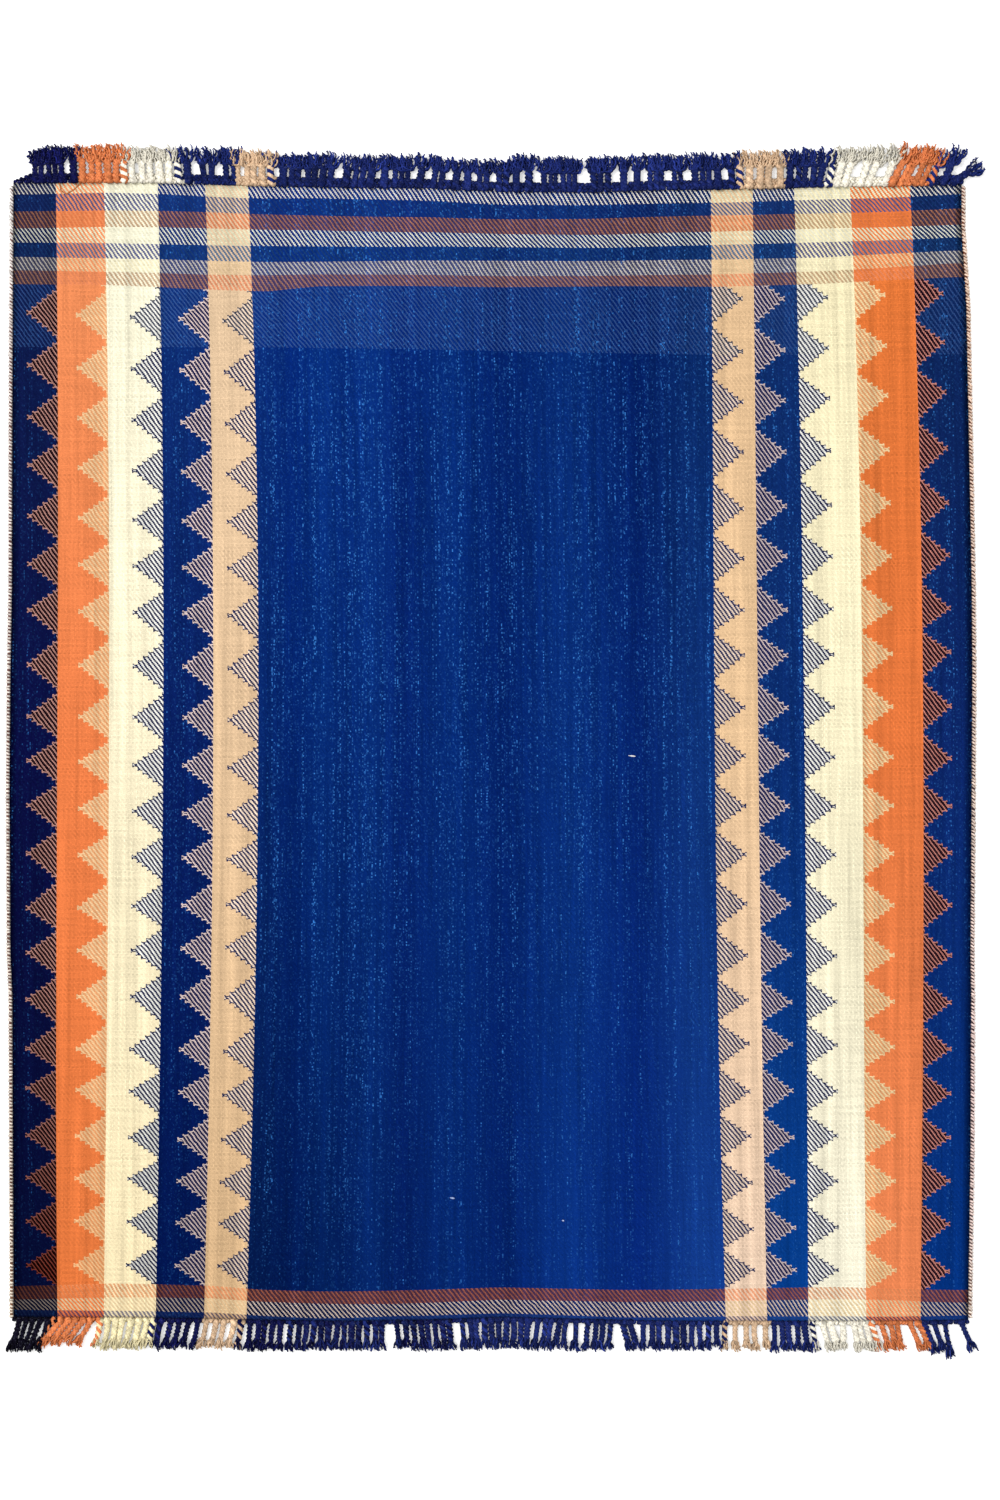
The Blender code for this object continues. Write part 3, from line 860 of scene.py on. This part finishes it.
footMake = {
    "outward": -1,
    "knotRows": 1,
    "knotsTall": 3.0 * mm,
    "knotsFrom": -797 * mm,
    "knotsTo": 778 * mm,
    "cordWide": 10.5 * mm,
    "touching": 12.5 * mm,
    "tuftWide": 17.5 * mm,
    "twisted": 0.68,
    "flare": 0.6,
    "strands": 16,
    "curl": 1.8 * mm,
    "turns": (3, 9),
    "fan": 0.8,
    "fluffed": 1.2,
}
# each yarn's tone, and how much it varies from strand to strand
yarnColours = {
    "navy": ("#192560", 0.35),
    "deep": ("#0d1040", 0.4),
    "black": ("#0b0816", 0.4),
    "orange": ("#dd804e", 0.14),
    "cream": ("#faf3e2", 0.07),
    "straw": ("#faecbe", 0.07),
    "tan": ("#d8b796", 0.14),
}
# Groups of cords from left to right, in mm: how many, where their first and last stand, where
# the tips of those two lie, how far along Y they come, and the yarn or the two plies' yarns.
topGroups = (
    # cords, base a, base b, tip a, tip b, reach, plies
    (2, -763, -752, -761, -752, 1000, "deep"),
    (3, -739, -719, -742, -721, 1004, "deep"),
    (1, -698, -698, -700, -700, 1004, "deep"),
    (5, -685, -628, -686, -630, 1007, "orange"),
    (1, -614, -614, -618, -618, 1000, "cream orange"),
    (5, -600, -540, -606, -544, 1003, "cream"),
    (1, -524, -524, -530, -530, 999, "navy cream"),
    (1, -508, -508, -513, -513, 1003, "navy"),
    (2, -481, -471, -491, -470, 1001, "navy"),
    (2, -446, -435, -449, -437, 1003, "navy"),
    (4, -427, -386, -427, -388, 998, "tan"),
    (1, -372, -372, -375, -375, 994, "tan navy"),
    (4, -353, -313, -351, -310, 991, "navy"),
    (3, -301, -277, -297, -268, 993, "navy"),
    (4, -250, -211, -241, -198, 989, "navy"),
    (1, -187, -187, -182, -182, 989, "navy"),
    (3, -169, -149, -165, -144, 988, "navy"),
    (1, -129, -129, -117, -117, 990, "navy"),
    (2, -105, -94, -96, -84, 988, "navy"),
    (1, -67, -67, -62, -62, 983, "navy"),
    (1, -48, -48, -47, -47, 982, "navy"),
    (2, -27, -17, -27, -15, 981, "navy"),
    (2, 4, 15, 3, 17, 983, "navy"),
    (1, 34, 34, 32, 32, 989, "navy"),
    (1, 52, 52, 54, 54, 989, "navy"),
    (6, 79, 131, 78, 129, 986, "navy"),
    (3, 160, 184, 158, 184, 987, "navy"),
    (1, 211, 211, 210, 210, 988, "navy"),
    (1, 232, 232, 233, 233, 990, "navy"),
    (3, 254, 275, 254, 273, 991, "navy"),
    (2, 295, 306, 293, 300, 990, "navy"),
    (4, 330, 366, 325, 364, 992, "navy"),
    (1, 390, 390, 385, 385, 993, "navy"),
    (1, 402, 402, 402, 402, 994, "navy tan"),
    (4, 418, 468, 419, 470, 998, "tan"),
    (5, 484, 533, 487, 544, 1000, "navy"),
    (1, 546, 546, 563, 563, 998, "navy cream"),
    (2, 561, 574, 579, 597, 1004, "cream"),
    (2, 599, 612, 622, 642, 1004, "cream"),
    (1, 639, 639, 666, 666, 1003, "cream"),
    (5, 652, 701, 687, 730, 1006, "orange"),
    (1, 715, 715, 740, 740, 996, "navy orange"),
    (1, 737, 737, 765, 765, 1004, "navy"),
    (1, 752, 752, 805.5, 805.5, 976, "navy"),
)
bottomGroups = (
    # the same columns
    (5, -788, -741, -803, -763, -992, "black"),
    (1, -729, -729, -764, -764, -986, "black orange"),
    (5, -718, -670, -755, -697, -982, "orange"),
    (1, -655, -655, -663, -663, -985, "orange straw"),
    (6, -643, -577, -649, -590, -989, "straw"),
    (1, -565, -565, -577, -577, -987, "deep straw"),
    (5, -553, -493, -565, -504, -988, "deep"),
    (4, -479, -434, -489, -443, -987, "tan"),
    (1, -421, -421, -428, -428, -988, "tan deep"),
    (5, -406, -356, -411, -362, -991, "deep"),
    (13, -338, -189, -344, -189, -990, "deep navy"),
    (2, -166, -150, -160, -147, -986, "deep navy"),
    (6, -138, -79, -132, -73, -990, "deep navy"),
    (10, -57, 53, -52, 50, -988, "navy"),
    (5, 69, 116, 62, 108, -989, "navy"),
    (1, 131, 131, 130, 130, -990, "navy"),
    (4, 152, 188, 147, 186, -990, "navy"),
    (2, 208, 219, 222, 234, -990, "navy"),
    (8, 243, 336, 243, 337, -990, "navy"),
    (2, 351, 364, 350, 364, -987, "navy"),
    (1, 378, 378, 377, 377, -990, "navy tan"),
    (4, 395, 444, 395, 446, -990, "tan"),
    (5, 458, 508, 460, 514, -992, "navy"),
    (1, 521, 521, 530, 530, -990, "navy cream"),
    (2, 538, 550, 552, 566, -991, "cream"),
    (1, 572, 572, 574, 574, -988, "cream"),
    (3, 589, 609, 599, 622, -991, "cream"),
    (1, 619, 619, 634, 634, -990, "cream orange"),
    (3, 635, 661, 651, 670, -989, "orange"),
    (2, 682, 695, 704, 718, -990, "orange"),
    (2, 706, 723, 728, 740, -994, "navy"),
    (1, 741, 741, 753, 753, -1003, "navy"),
    (1, 768, 768, 790, 790, -991, "navy"),
)


def cordPlaces(groups, edgeLine):
    # the base, the tip and the two plies' colours of every cord, left to right. A group's cords
    # stand evenly but for a small wander, and the reach of each is slightly different.
    rows = []
    for cords, baseA, baseB, tipA, tipB, reach, pair in groups:
        i = np.arange(cords)
        share = i / max(cords - 1, 1)
        stray = fringe["stray"] if cords > 3 else 0.0
        baseX = baseA + (baseB - baseA) * share + stray * np.sin(2.4 * i)
        tipX = tipA + (tipB - tipA) * share + stray * 1.3 * np.sin(1.9 * i)
        tipY = reach - np.sign(reach) * fringe["short"] * (0.5 - 0.5 * np.cos(2.9 * i))
        kinds = [yarnColours[yarn] for yarn in (pair.split() * 2)[:2]]
        plies = np.tile([[*hexLinear(tone), uneven] for tone, uneven in kinds], (cords, 1, 1))
        rows.append((baseX * mm, tipX * mm, tipY * mm, plies))
    baseX, tipX, tipY, plies = (np.concatenate(column) for column in zip(*rows))
    baseY = np.interp(baseX, *edgeLine) + fringe["rootOff"] * np.sign(tipY)
    return np.stack([baseX, baseY], axis=-1), np.stack([tipX, tipY], axis=-1), plies


def unevenTone(plies):
    # each colour times a log-normal factor, as wide as the fourth number says
    return plies[..., :3] * np.exp(dice.normal(0, 1, plies.shape[:-1]) * plies[..., 3])[..., None]


def heldWidth(make, x):
    # a cord's own width; but cords that stand close touch, and none is wider than its room
    step = np.diff(x)
    nearer = np.minimum(np.append(step, np.inf), np.insert(step, 0, np.inf))
    free = np.minimum(make["cordWide"], nearer)
    return np.where(nearer < make["touching"], nearer + fringe["press"], free)


def twistedCords(make, base, tip, plies):
    # Two plies wound round each cord's line: ply = line + swing (cos p * across + sin p * up),
    # with p one full turn for each twist of length, half a turn apart.
    s = np.linspace(0, 1, fringe["plyRings"])
    end = base + (tip - base) * make["twisted"]
    bow = dice.normal(0, fringe["bow"], (len(base), 1)) * np.sin(np.pi * s)
    line = base[:, None] + (end - base)[:, None] * s[:, None]
    along = unit(end - base)
    across = np.stack([along[:, 1], -along[:, 0]], axis=-1)
    line = line + across[:, None] * bow[..., None]
    baseWide = heldWidth(make, base[:, 0])[:, None]
    endWide = heldWidth(make, end[:, 0])[:, None]
    flare = 1 + make["flare"] * np.exp(-s / fringe["flareOver"])
    wide = baseWide * flare + (endWide - baseWide) * s
    wide = wide * dice.uniform(*fringe["cordVary"], (len(base), 1))
    thick = np.minimum(wide, fringe["thickest"])
    length = np.linalg.norm(end - base, axis=-1)
    p = 2 * np.pi * (length[:, None] * s / fringe["twist"] + dice.uniform(0, 1, (len(base), 1)))
    batches = []
    for ply in (0, 1):
        turn = p + ply * np.pi
        out = wide * fringe["plyOut"] * np.cos(turn)
        up = thick * fringe["plyUp"] * np.sin(turn)
        z = np.maximum(thick * fringe["plyHigh"] + up, thick * fringe["plyLow"])
        path = np.concatenate([line + across[:, None] * out[..., None], z[..., None]], axis=-1)
        radii = thick * fringe["plyRound"]
        batches.append(yarns(path, radii, fringe["plySides"], unevenTone(plies[:, ply])))
    return batches


def tufts(make, base, tip, plies):
    # The loose ends past the twist. Each strand leaves inside its cord, spreads sideways by the
    # power "fan" of its length, and coils: side = leave + (spread - leave) t^fan + wave * cos(turn).
    cords, strands = len(base), make["strands"]
    t = np.linspace(0, 1, fringe["strandRings"])
    start = base + (tip - base) * (make["twisted"] - fringe["strandFrom"])
    reach = np.linalg.norm(tip - start, axis=-1)[:, None]
    along = unit(tip - start)
    across = np.stack([along[:, 1], -along[:, 0]], axis=-1)
    shape = (cords, strands)
    spread = make["tuftWide"] / 2 * dice.uniform(-1, 1, shape)
    leave = make["cordWide"] * fringe["strandLeave"] * dice.uniform(-1, 1, shape)
    long = reach * dice.uniform(*fringe["strandLong"], shape) ** fringe["strandPower"]
    wave = make["curl"] * dice.uniform(*fringe["coilVary"], shape)[..., None] * np.minimum(1, 3 * t)
    turn = dice.uniform(*make["turns"], shape)[..., None] * t + dice.uniform(0, 6.28, shape)[..., None]
    side = leave[..., None] + (spread - leave)[..., None] * t ** make["fan"]
    side = side + wave * np.cos(turn)
    forward = long[..., None] * t + wave * np.sin(turn)
    rise = fringe["strandHigh"] + fringe["strandRise"] * dice.uniform(-1, 1, shape)[..., None]
    rise = rise + fringe["coilHigh"] * wave * np.sin(turn + 1.3)
    radius = fringe["strandWide"] / 2 * dice.uniform(*fringe["strandVary"], shape)[..., None]
    radius = radius * (1 - fringe["strandThin"] * t ** 4)
    z = np.maximum(rise, radius + 2 * fringe["clear"])
    flat = start[:, None, None] + along[:, None, None] * forward[..., None]
    flat = flat + across[:, None, None] * side[..., None]
    paths = np.concatenate([flat, z[..., None]], axis=-1).reshape(cords * strands, len(t), 3)
    which = dice.integers(0, 2, shape)
    tones = unevenTone(plies[np.arange(cords)[:, None], which])
    limit = fringe["brightest"] / tones.max(-1, keepdims=True)
    tones = tones * np.minimum(make["fluffed"], limit)
    return yarns(paths, radius.reshape(-1, len(t)), fringe["strandSides"], tones.reshape(-1, 3))


def knotRow(make, edgeLine, base, plies):
    # rows of short slanted knots, each a spindle: radius = half width (ends + (1 - ends) cos(pi t)
    # to the 0.8), with t from -0.5 to 0.5. Every knot takes the yarn of the cord nearest to it.
    start, end, rows = make["knotsFrom"], make["knotsTo"], make["knotRows"]
    count = round((end - start) / knot["step"])
    order = np.arange(rows)[:, None]
    x = np.linspace(start, end, count)[None] + (order % 2) * knot["step"] / 2
    x = np.clip(x + dice.normal(0, knot["stray"], x.shape), start, end)
    taper = np.ones(x.shape)
    if rows > 1:
        taper = np.clip(knot["taperFrom"] + (x - start) / knot["taper"], 0, 1)
    out = make["knotsTall"] * ((order + 0.5) / rows) * taper + knot["off"]
    y = np.interp(x, *edgeLine) + make["outward"] * out
    x, y, taper = x.ravel(), y.ravel(), taper.ravel()
    tilt = np.where((order % 2) == 0, knot["tilt"], -knot["tilt"]) * np.ones((rows, count))
    tilt = tilt.ravel() + dice.normal(0, knot["tiltStray"], x.size)
    t = np.linspace(-0.5, 0.5, knot["rings"])
    long = knot["long"] * np.sqrt(taper)[:, None]
    flat = np.stack([x[:, None] + long * t * np.cos(tilt)[:, None] * knot["across"],
                     y[:, None] + long * t * np.sin(tilt)[:, None] * knot["along"]], axis=-1)
    spindle = knot["ends"] + (1 - knot["ends"]) * np.cos(np.pi * t) ** 0.8
    radius = knot["wide"] / 2 * np.sqrt(taper)[:, None] * spindle
    z = np.full(flat.shape[:2], knot["high"]) + dice.normal(0, knot["highStray"], (x.size, 1))
    z = np.maximum(z, radius + fringe["clear"])
    nearest = np.abs(x[:, None] - base[None, :, 0]).argmin(1)
    tones = unevenTone(plies[nearest, dice.integers(0, 2, x.size)])
    return yarns(np.concatenate([flat, z[..., None]], axis=-1), radius, knot["sides"], tones)


def fringeYarns(make, groups, edgeLine):
    # the knots, both plies of every cord and the tufts of one end of the rug
    base, tip, plies = cordPlaces(groups, edgeLine)
    return [knotRow(make, edgeLine, base, plies), *twistedCords(make, base, tip, plies),
            tufts(make, base, tip, plies)]


# A loose thread on the first bands at the left, and slubs of pale wool caught on the field. They
# are joined into the top fringe.
loose = {
    "places": ((-722, 941), (-720, 929), (-711, 923), (-699, 930), (-686, 942)),  # x, y in mm
    "tone": "#c4743c",
    "radius": 0.9 * mm,
    "rings": 17,
    "sides": 5,
    "above": 0.6 * mm,         # how high its middle line lies over the cloth
    "slubRings": 6,
    "slubSides": 6,
    "slubAbove": 0.5 * mm,
}
slubs = (
    # x a, y a, x b, y b, thick, all in mm, tone
    (218, -5.2, 230, -6.4, 2.7, "#fbfafc"),
    (-77, -736.0, -69, -737.0, 3.4, "#a9bdea"),
    (108, -773.6, 112, -773.9, 3.2, "#b6c6ec"),
)


def onCloth(flat, above):
    # x and y with the height of the cloth's face there and a little more
    z = lift(flat[..., 0], flat[..., 1]) + cloth["thick"] + above
    return np.concatenate([flat, z[..., None]], axis=-1)


def looseThread():
    # straight from place to place of its list
    places = np.array(loose["places"]) * mm
    t = np.linspace(0, len(places) - 1, loose["rings"])
    flat = np.stack([np.interp(t, range(len(places)), column) for column in places.T], axis=-1)
    radii = np.full((1, loose["rings"]), loose["radius"])
    tone = hexLinear(loose["tone"])[None]
    return yarns(onCloth(flat, loose["above"])[None], radii, loose["sides"], tone)


def paleSlubs():
    # straight from a to b, with radius = half the thickness * (0.3 + 0.7 sin(pi t^1.4))
    ends = np.array([row[:4] for row in slubs]) * mm
    t = np.linspace(0, 1, loose["slubRings"])
    flat = ends[:, None, :2] + (ends[:, None, 2:] - ends[:, None, :2]) * t[:, None]
    thick = np.array([row[4] for row in slubs])[:, None] * mm
    radii = thick / 2 * (0.3 + 0.7 * np.sin(np.pi * t ** 1.4))
    tones = np.array([hexLinear(row[5]) for row in slubs])
    return yarns(onCloth(flat, loose["slubAbove"]), radii, loose["slubSides"], tones)


cordWool = spunWool("twistedWoolCord", 3.0 * mm, 0.6)
topYarns = fringeYarns(topMake, topGroups, topEdge)
topFringe = yarnPiece("cord_fringe_top", [*topYarns, looseThread(), paleSlubs()], cordWool)
bottomFringe = yarnPiece("cord_fringe_bottom", fringeYarns(footMake, bottomGroups, footEdge), cordWool)


# Each piece hangs from the root body, in place of the CAD part that it stands for, which is hidden

for piece, node, slot in (
    (rug, "cloth", "woven_wool"),
    (leftWhip, "edge_wrap_left", "edge_yarn"),
    (rightWhip, "edge_wrap_right", "edge_yarn"),
    (topFringe, "fringe_top", "fringe_yarn"),
    (bottomFringe, "fringe_bottom", "fringe_yarn"),
):
    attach(piece, "root")
    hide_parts(node)


# The floor, the light and the camera

studio = {
    "floorWide": 14.0,
    "floorTone": "#fbfbfa",
    "floorGlow": 0.3,           # how strongly it is lit from below
    "skyLight": 0.77,           # the soft light from all round
    "eyeHigh": 6.0,             # the camera's height over the cloth
    "eyeX": 5.8 * mm,
    "eyeY": 4.1 * mm,
    "frameLong": 2.4795,        # what the long side of the frame takes in at the cloth's height
    "sensor": 36.0,             # mm
}


def opalFloor():
    # A matt white acrylic floor, faintly lit from below: plain, with next to no shadow on it.
    material, addNode = emptyMaterial("mattOpalAcrylic")
    acrylic = addNode("BsdfPrincipled", {"Base Color": (*hexLinear(studio["floorTone"]), 1),
                                         "Roughness": 0.9, "Specular IOR Level": 0.2,
                                         "Emission Color": (1, 1, 1, 1),
                                         "Emission Strength": studio["floorGlow"]})
    addNode("OutputMaterial", {"Surface": acrylic})
    return material


reachOut = studio["floorWide"] / 2
corners = np.array([[-1, -1, 0], [1, -1, 0], [1, 1, 0], [-1, 1, 0]]) * reachOut
floor = meshPiece("floor", corners, [np.array([[0, 1, 2, 3]])], opalFloor())
floor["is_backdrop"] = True

world = bpy.data.worlds.new("softStudio")
world.use_nodes = True
world.node_tree.nodes["Background"].inputs["Color"].default_value = (1, 1, 1, 1)
world.node_tree.nodes["Background"].inputs["Strength"].default_value = studio["skyLight"]
bpy.context.scene.world = world

softboxes = (
    # name, place, width, watts
    ("softbox_left", (-9.0, 6.0, 12.0), 6.0, 1620),
    ("softbox_right", (9.0, -4.0, 11.0), 6.0, 340),
)
for name, spot, wide, watts in softboxes:
    lamp = bpy.data.lights.new(name, "AREA")
    lamp.shape = "SQUARE"
    lamp.size = wide
    lamp.energy = watts
    box = bpy.data.objects.new(name, lamp)
    box.location = spot
    box.rotation_mode = "QUATERNION"
    box.rotation_quaternion = (-Vector(spot)).to_track_quat("-Z", "Y")
    bpy.context.scene.collection.objects.link(box)

camera = bpy.data.cameras.new("overhead")
camera.type = "PERSP"
camera.sensor_width = studio["sensor"]
camera.lens = studio["sensor"] * studio["eyeHigh"] / studio["frameLong"]
eye = bpy.data.objects.new("overhead", camera)
eye.location = (studio["eyeX"], studio["eyeY"], studio["eyeHigh"] + cloth["thick"])
bpy.context.scene.collection.objects.link(eye)
bpy.context.scene.camera = eye
bpy.context.scene.view_settings.view_transform = "Standard"
print("studio: floor, lights and camera")

bpy.context.view_layer.update()
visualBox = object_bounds()
[[list(corner) for corner in box] for box in (cadBox, visualBox)]
